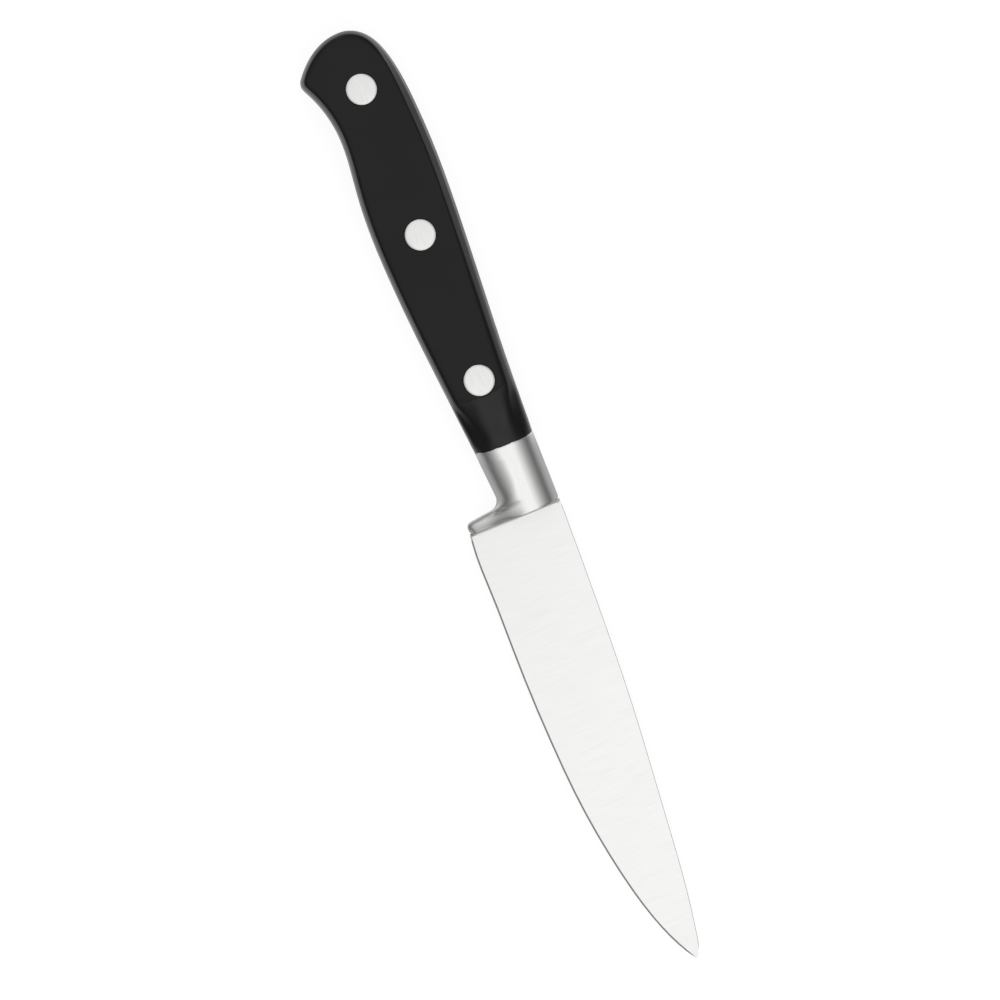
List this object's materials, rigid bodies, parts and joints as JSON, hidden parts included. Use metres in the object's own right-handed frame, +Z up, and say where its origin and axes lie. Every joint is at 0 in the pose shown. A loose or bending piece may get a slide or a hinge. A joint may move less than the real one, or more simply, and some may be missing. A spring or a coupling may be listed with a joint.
{
  "type": "paring knife",
  "caption": "Forged paring knife with a bolster and finger guard, a full tang between black scales, and flush round rivets; it lies on its left side.",
  "frame": {"origin": "bottom centre of the bounding box, on the surface the knife lies on with its left scale down", "axes": "+X from the butt to the tip, +Y from the cutting edge to the back of the blade, +Z up out of the knife's right side"},
  "size_m": [0.1974, 0.0234, 0.0136],
  "materials": {
    "blade_steel": "satin ground stainless steel",
    "scale_plastic": "smooth moulded black plastic, polished at its edges",
    "rivet_steel": "flush ground stainless steel"
  },
  "bodies": {
    "root": {"blade": "blade_steel", "right_scale": "scale_plastic", "left_scale": "scale_plastic", "front_rivet_sleeve": "rivet_steel", "front_rivet_post": "rivet_steel", "middle_rivet_sleeve": "rivet_steel", "middle_rivet_post": "rivet_steel", "rear_rivet_sleeve": "rivet_steel", "rear_rivet_post": "rivet_steel"}
  },
  "joints": []
}
